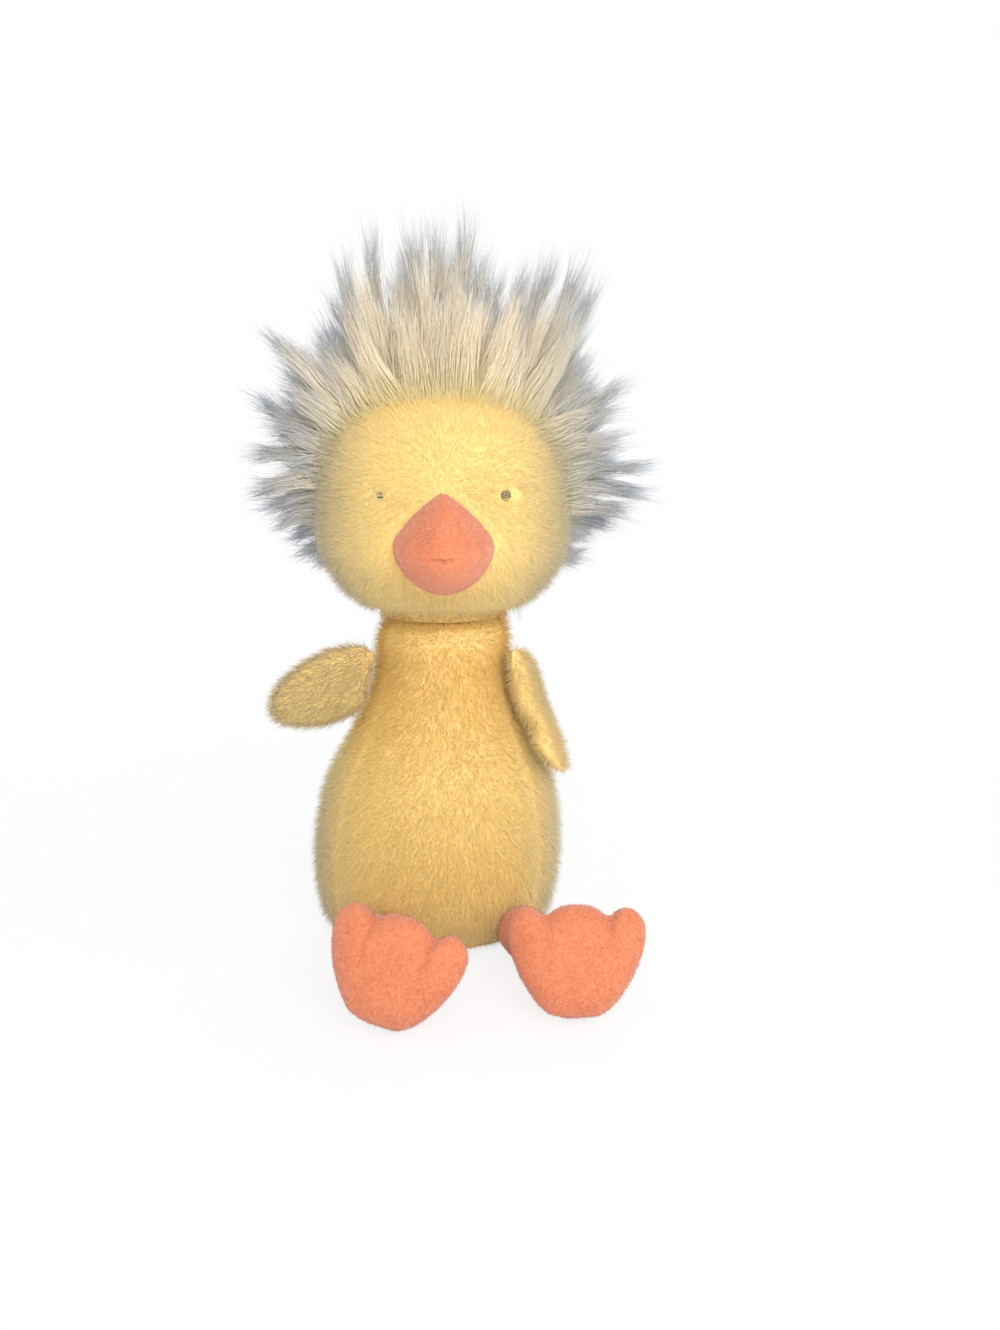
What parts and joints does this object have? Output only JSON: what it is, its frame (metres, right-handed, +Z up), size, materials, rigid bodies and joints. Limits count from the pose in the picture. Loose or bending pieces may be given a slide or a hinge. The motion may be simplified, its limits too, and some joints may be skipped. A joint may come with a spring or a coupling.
{
  "type": "plush duck",
  "caption": "Seated plush duck with a pear-shaped short-pile body, a round head with a wild long-pile crown, a padded beak, flat wings and short legs with toed feet.",
  "frame": {"origin": "middle of the base panel's underside, on the table", "axes": "+Z up, -Y the way the duck faces, +X the duck's own left"},
  "size_m": [0.1721, 0.2056, 0.299],
  "materials": {
    "yellow_pile": "short brushed pile",
    "long_pile": "long loose pile",
    "coral_velour": "short velour",
    "filling": "loose polyester fibre",
    "bean_cloth": "plain woven",
    "eye": "polished bead",
    "washer": "moulded"
  },
  "bodies": {
    "body": {"body_front_panel": "yellow_pile", "body_left_panel": "yellow_pile", "body_right_panel": "yellow_pile", "base_panel": "yellow_pile", "body_stuffing": "filling", "bean_pouch": "bean_cloth"},
    "neck": {"neck_stuffing": "filling"},
    "head": {"face_panel": "yellow_pile", "crown_fur_left": "long_pile", "crown_fur_right": "long_pile", "head_stuffing": "filling", "beak_upper_panel": "coral_velour", "beak_lower_panel": "coral_velour", "beak_stuffing": "filling", "eye_left": "eye", "eye_right": "eye", "eye_washer_left": "washer", "eye_washer_right": "washer"},
    "wing_left": {"wing_left_outer_panel": "yellow_pile", "wing_left_inner_panel": "yellow_pile", "wing_left_stuffing": "filling"},
    "wing_right": {"wing_right_outer_panel": "yellow_pile", "wing_right_inner_panel": "yellow_pile", "wing_right_stuffing": "filling"},
    "leg_left": {"leg_left_sleeve": "coral_velour", "leg_left_stuffing": "filling"},
    "leg_right": {"leg_right_sleeve": "coral_velour", "leg_right_stuffing": "filling"},
    "foot_left": {"foot_left_sole_panel": "coral_velour", "foot_left_top_panel": "coral_velour", "foot_left_stuffing": "filling"},
    "foot_right": {"foot_right_sole_panel": "coral_velour", "foot_right_top_panel": "coral_velour", "foot_right_stuffing": "filling"}
  },
  "joints": [
    {"name": "neck_turn", "type": "hinge", "parent": "body", "child": "neck", "pos_m": [0.00471, 0, 0.137], "axis": [0, 0, 1], "range_deg": [-30, 30]},
    {"name": "head_nod", "type": "hinge", "parent": "neck", "child": "head", "pos_m": [0.00471, 0, 0.137], "axis": [1, 0, 0], "range_deg": [-10, 8]},
    {"name": "wing_left_flap", "type": "hinge", "parent": "body", "child": "wing_left", "pos_m": [0.03336, -0.018, 0.1325], "axis": [0.1336, -0.0704, -0.9885], "range_deg": [0, 80]},
    {"name": "wing_right_flap", "type": "hinge", "parent": "body", "child": "wing_right", "pos_m": [-0.02426, -0.018, 0.1325], "axis": [0.1992, 0.0696, 0.9775], "range_deg": [-75, 45]},
    {"name": "leg_left_swing", "type": "hinge", "parent": "body", "child": "leg_left", "pos_m": [0.0365, -0.04276, 0.0135], "axis": [0, 0, 1], "range_deg": [-8, 20]},
    {"name": "foot_left_roll", "type": "hinge", "parent": "leg_left", "child": "foot_left", "pos_m": [0.05263, -0.0837, 0.0132], "axis": [0.0339, -0.9697, 0.2419], "range_deg": [-15, 20]},
    {"name": "leg_right_swing", "type": "hinge", "parent": "body", "child": "leg_right", "pos_m": [-0.02415, -0.04911, 0.0135], "axis": [0, 0, 1], "range_deg": [-20, 8]},
    {"name": "foot_right_roll", "type": "hinge", "parent": "leg_right", "child": "foot_right", "pos_m": [-0.01351, -0.09181, 0.01551], "axis": [-0.2389, -0.9583, 0.1564], "range_deg": [-10, 35]}
  ]
}
